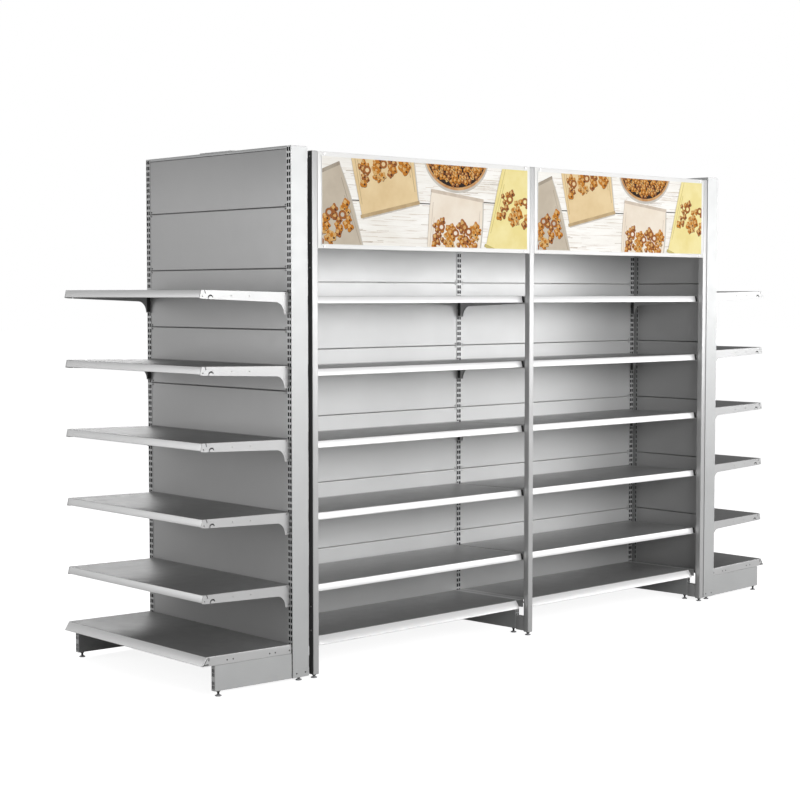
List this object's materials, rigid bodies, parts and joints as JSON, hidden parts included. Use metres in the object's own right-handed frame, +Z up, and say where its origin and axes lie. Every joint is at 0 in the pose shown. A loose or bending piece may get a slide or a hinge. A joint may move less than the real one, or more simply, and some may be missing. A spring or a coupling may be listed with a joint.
{
  "type": "gondola shelving unit",
  "caption": "Free-standing double-sided gondola shelving run with header signs over the bays and an end-cap shelf unit at each end.",
  "frame": {"origin": "middle of the footprint, on the floor", "axes": "+X along the run, +Y across it from the seen front side to the rear, +Z up"},
  "size_m": [3.747, 1.049, 2.196],
  "materials": {
    "upright_steel": "satin",
    "panel_steel": "satin",
    "shelf_steel": "satin",
    "post_steel": "satin",
    "sign_panel": "matt print on sheet"
  },
  "bodies": {
    "root": {"frame_left": "upright_steel", "frame_middle": "upright_steel", "frame_right": "upright_steel", "end_frame_left_front": "upright_steel", "end_frame_left_rear": "upright_steel", "end_frame_right_front": "upright_steel", "end_frame_right_rear": "upright_steel", "back_panel_1": "panel_steel", "back_panel_2": "panel_steel", "end_panel_left": "panel_steel", "end_panel_right": "panel_steel", "side_panel_left": "panel_steel", "side_panel_right": "panel_steel", "top_rail": "upright_steel", "post_front_left": "post_steel", "post_front_middle": "post_steel", "post_front_right": "post_steel", "sign_front_1": "sign_panel", "sign_front_2": "sign_panel", "post_rear_left": "post_steel", "post_rear_middle": "post_steel", "post_rear_right": "post_steel", "sign_rear_1": "sign_panel", "sign_rear_2": "sign_panel"},
    "shelf_front_1_1": {"shelf_front_1_1": "shelf_steel"},
    "shelf_front_1_2": {"shelf_front_1_2": "shelf_steel"},
    "shelf_front_1_3": {"shelf_front_1_3": "shelf_steel"},
    "shelf_front_1_4": {"shelf_front_1_4": "shelf_steel"},
    "shelf_front_1_5": {"shelf_front_1_5": "shelf_steel"},
    "deck_front_1": {"deck_front_1": "shelf_steel"},
    "shelf_front_2_1": {"shelf_front_2_1": "shelf_steel"},
    "shelf_front_2_2": {"shelf_front_2_2": "shelf_steel"},
    "shelf_front_2_3": {"shelf_front_2_3": "shelf_steel"},
    "shelf_front_2_4": {"shelf_front_2_4": "shelf_steel"},
    "shelf_front_2_5": {"shelf_front_2_5": "shelf_steel"},
    "deck_front_2": {"deck_front_2": "shelf_steel"},
    "shelf_rear_1_1": {"shelf_rear_1_1": "shelf_steel"},
    "shelf_rear_1_2": {"shelf_rear_1_2": "shelf_steel"},
    "shelf_rear_1_3": {"shelf_rear_1_3": "shelf_steel"},
    "shelf_rear_1_4": {"shelf_rear_1_4": "shelf_steel"},
    "shelf_rear_1_5": {"shelf_rear_1_5": "shelf_steel"},
    "deck_rear_1": {"deck_rear_1": "shelf_steel"},
    "shelf_rear_2_1": {"shelf_rear_2_1": "shelf_steel"},
    "shelf_rear_2_2": {"shelf_rear_2_2": "shelf_steel"},
    "shelf_rear_2_3": {"shelf_rear_2_3": "shelf_steel"},
    "shelf_rear_2_4": {"shelf_rear_2_4": "shelf_steel"},
    "shelf_rear_2_5": {"shelf_rear_2_5": "shelf_steel"},
    "deck_rear_2": {"deck_rear_2": "shelf_steel"},
    "shelf_left_1": {"shelf_left_1": "shelf_steel"},
    "shelf_left_2": {"shelf_left_2": "shelf_steel"},
    "shelf_left_3": {"shelf_left_3": "shelf_steel"},
    "shelf_left_4": {"shelf_left_4": "shelf_steel"},
    "shelf_left_5": {"shelf_left_5": "shelf_steel"},
    "deck_left": {"deck_left": "shelf_steel"},
    "shelf_right_1": {"shelf_right_1": "shelf_steel"},
    "shelf_right_2": {"shelf_right_2": "shelf_steel"},
    "shelf_right_3": {"shelf_right_3": "shelf_steel"},
    "shelf_right_4": {"shelf_right_4": "shelf_steel"},
    "shelf_right_5": {"shelf_right_5": "shelf_steel"},
    "deck_right": {"deck_right": "shelf_steel"}
  },
  "joints": [
    {"name": "lift_front_1_1", "type": "hinge", "parent": "root", "child": "shelf_front_1_1", "pos_m": [-0.6515, -0.0465, 0.375], "axis": [-1, 0, 0], "range_deg": [0, 20]},
    {"name": "lift_front_1_2", "type": "hinge", "parent": "root", "child": "shelf_front_1_2", "pos_m": [-0.6515, -0.0465, 0.675], "axis": [-1, 0, 0], "range_deg": [0, 20]},
    {"name": "lift_front_1_3", "type": "hinge", "parent": "root", "child": "shelf_front_1_3", "pos_m": [-0.6515, -0.0465, 0.975], "axis": [-1, 0, 0], "range_deg": [0, 20]},
    {"name": "lift_front_1_4", "type": "hinge", "parent": "root", "child": "shelf_front_1_4", "pos_m": [-0.6515, -0.0465, 1.275], "axis": [-1, 0, 0], "range_deg": [0, 20]},
    {"name": "lift_front_1_5", "type": "hinge", "parent": "root", "child": "shelf_front_1_5", "pos_m": [-0.6515, -0.0465, 1.575], "axis": [-1, 0, 0], "range_deg": [0, 20]},
    {"name": "raise_front_1", "type": "slide", "parent": "root", "child": "deck_front_1", "axis": [0, 0, 1], "range_m": [0, 0.08]},
    {"name": "lift_front_2_1", "type": "hinge", "parent": "root", "child": "shelf_front_2_1", "pos_m": [0.6515, -0.0465, 0.375], "axis": [-1, 0, 0], "range_deg": [0, 20]},
    {"name": "lift_front_2_2", "type": "hinge", "parent": "root", "child": "shelf_front_2_2", "pos_m": [0.6515, -0.0465, 0.675], "axis": [-1, 0, 0], "range_deg": [0, 20]},
    {"name": "lift_front_2_3", "type": "hinge", "parent": "root", "child": "shelf_front_2_3", "pos_m": [0.6515, -0.0465, 0.975], "axis": [-1, 0, 0], "range_deg": [0, 20]},
    {"name": "lift_front_2_4", "type": "hinge", "parent": "root", "child": "shelf_front_2_4", "pos_m": [0.6515, -0.0465, 1.275], "axis": [-1, 0, 0], "range_deg": [0, 20]},
    {"name": "lift_front_2_5", "type": "hinge", "parent": "root", "child": "shelf_front_2_5", "pos_m": [0.6515, -0.0465, 1.575], "axis": [-1, 0, 0], "range_deg": [0, 20]},
    {"name": "raise_front_2", "type": "slide", "parent": "root", "child": "deck_front_2", "axis": [0, 0, 1], "range_m": [0, 0.08]},
    {"name": "lift_rear_1_1", "type": "hinge", "parent": "root", "child": "shelf_rear_1_1", "pos_m": [-0.6515, 0.0465, 0.375], "axis": [1, 0, 0], "range_deg": [0, 20]},
    {"name": "lift_rear_1_2", "type": "hinge", "parent": "root", "child": "shelf_rear_1_2", "pos_m": [-0.6515, 0.0465, 0.675], "axis": [1, 0, 0], "range_deg": [0, 20]},
    {"name": "lift_rear_1_3", "type": "hinge", "parent": "root", "child": "shelf_rear_1_3", "pos_m": [-0.6515, 0.0465, 0.975], "axis": [1, 0, 0], "range_deg": [0, 20]},
    {"name": "lift_rear_1_4", "type": "hinge", "parent": "root", "child": "shelf_rear_1_4", "pos_m": [-0.6515, 0.0465, 1.275], "axis": [1, 0, 0], "range_deg": [0, 20]},
    {"name": "lift_rear_1_5", "type": "hinge", "parent": "root", "child": "shelf_rear_1_5", "pos_m": [-0.6515, 0.0465, 1.575], "axis": [1, 0, 0], "range_deg": [0, 20]},
    {"name": "raise_rear_1", "type": "slide", "parent": "root", "child": "deck_rear_1", "axis": [0, 0, 1], "range_m": [0, 0.08]},
    {"name": "lift_rear_2_1", "type": "hinge", "parent": "root", "child": "shelf_rear_2_1", "pos_m": [0.6515, 0.0465, 0.375], "axis": [1, 0, 0], "range_deg": [0, 20]},
    {"name": "lift_rear_2_2", "type": "hinge", "parent": "root", "child": "shelf_rear_2_2", "pos_m": [0.6515, 0.0465, 0.675], "axis": [1, 0, 0], "range_deg": [0, 20]},
    {"name": "lift_rear_2_3", "type": "hinge", "parent": "root", "child": "shelf_rear_2_3", "pos_m": [0.6515, 0.0465, 0.975], "axis": [1, 0, 0], "range_deg": [0, 20]},
    {"name": "lift_rear_2_4", "type": "hinge", "parent": "root", "child": "shelf_rear_2_4", "pos_m": [0.6515, 0.0465, 1.275], "axis": [1, 0, 0], "range_deg": [0, 20]},
    {"name": "lift_rear_2_5", "type": "hinge", "parent": "root", "child": "shelf_rear_2_5", "pos_m": [0.6515, 0.0465, 1.575], "axis": [1, 0, 0], "range_deg": [0, 20]},
    {"name": "raise_rear_2", "type": "slide", "parent": "root", "child": "deck_rear_2", "axis": [0, 0, 1], "range_m": [0, 0.08]},
    {"name": "lift_left_1", "type": "hinge", "parent": "root", "child": "shelf_left_1", "pos_m": [-1.42, 0, 0.4], "axis": [0, 1, 0], "range_deg": [0, 20]},
    {"name": "lift_left_2", "type": "hinge", "parent": "root", "child": "shelf_left_2", "pos_m": [-1.42, 0, 0.7], "axis": [0, 1, 0], "range_deg": [0, 20]},
    {"name": "lift_left_3", "type": "hinge", "parent": "root", "child": "shelf_left_3", "pos_m": [-1.42, 0, 1], "axis": [0, 1, 0], "range_deg": [0, 20]},
    {"name": "lift_left_4", "type": "hinge", "parent": "root", "child": "shelf_left_4", "pos_m": [-1.42, 0, 1.3], "axis": [0, 1, 0], "range_deg": [0, 20]},
    {"name": "lift_left_5", "type": "hinge", "parent": "root", "child": "shelf_left_5", "pos_m": [-1.42, 0, 1.6], "axis": [0, 1, 0], "range_deg": [0, 20]},
    {"name": "raise_left", "type": "slide", "parent": "root", "child": "deck_left", "axis": [0, 0, 1], "range_m": [0, 0.08]},
    {"name": "lift_right_1", "type": "hinge", "parent": "root", "child": "shelf_right_1", "pos_m": [1.42, 0, 0.4], "axis": [0, -1, 0], "range_deg": [0, 20]},
    {"name": "lift_right_2", "type": "hinge", "parent": "root", "child": "shelf_right_2", "pos_m": [1.42, 0, 0.7], "axis": [0, -1, 0], "range_deg": [0, 20]},
    {"name": "lift_right_3", "type": "hinge", "parent": "root", "child": "shelf_right_3", "pos_m": [1.42, 0, 1], "axis": [0, -1, 0], "range_deg": [0, 20]},
    {"name": "lift_right_4", "type": "hinge", "parent": "root", "child": "shelf_right_4", "pos_m": [1.42, 0, 1.3], "axis": [0, -1, 0], "range_deg": [0, 20]},
    {"name": "lift_right_5", "type": "hinge", "parent": "root", "child": "shelf_right_5", "pos_m": [1.42, 0, 1.6], "axis": [0, -1, 0], "range_deg": [0, 20]},
    {"name": "raise_right", "type": "slide", "parent": "root", "child": "deck_right", "axis": [0, 0, 1], "range_m": [0, 0.08]}
  ]
}
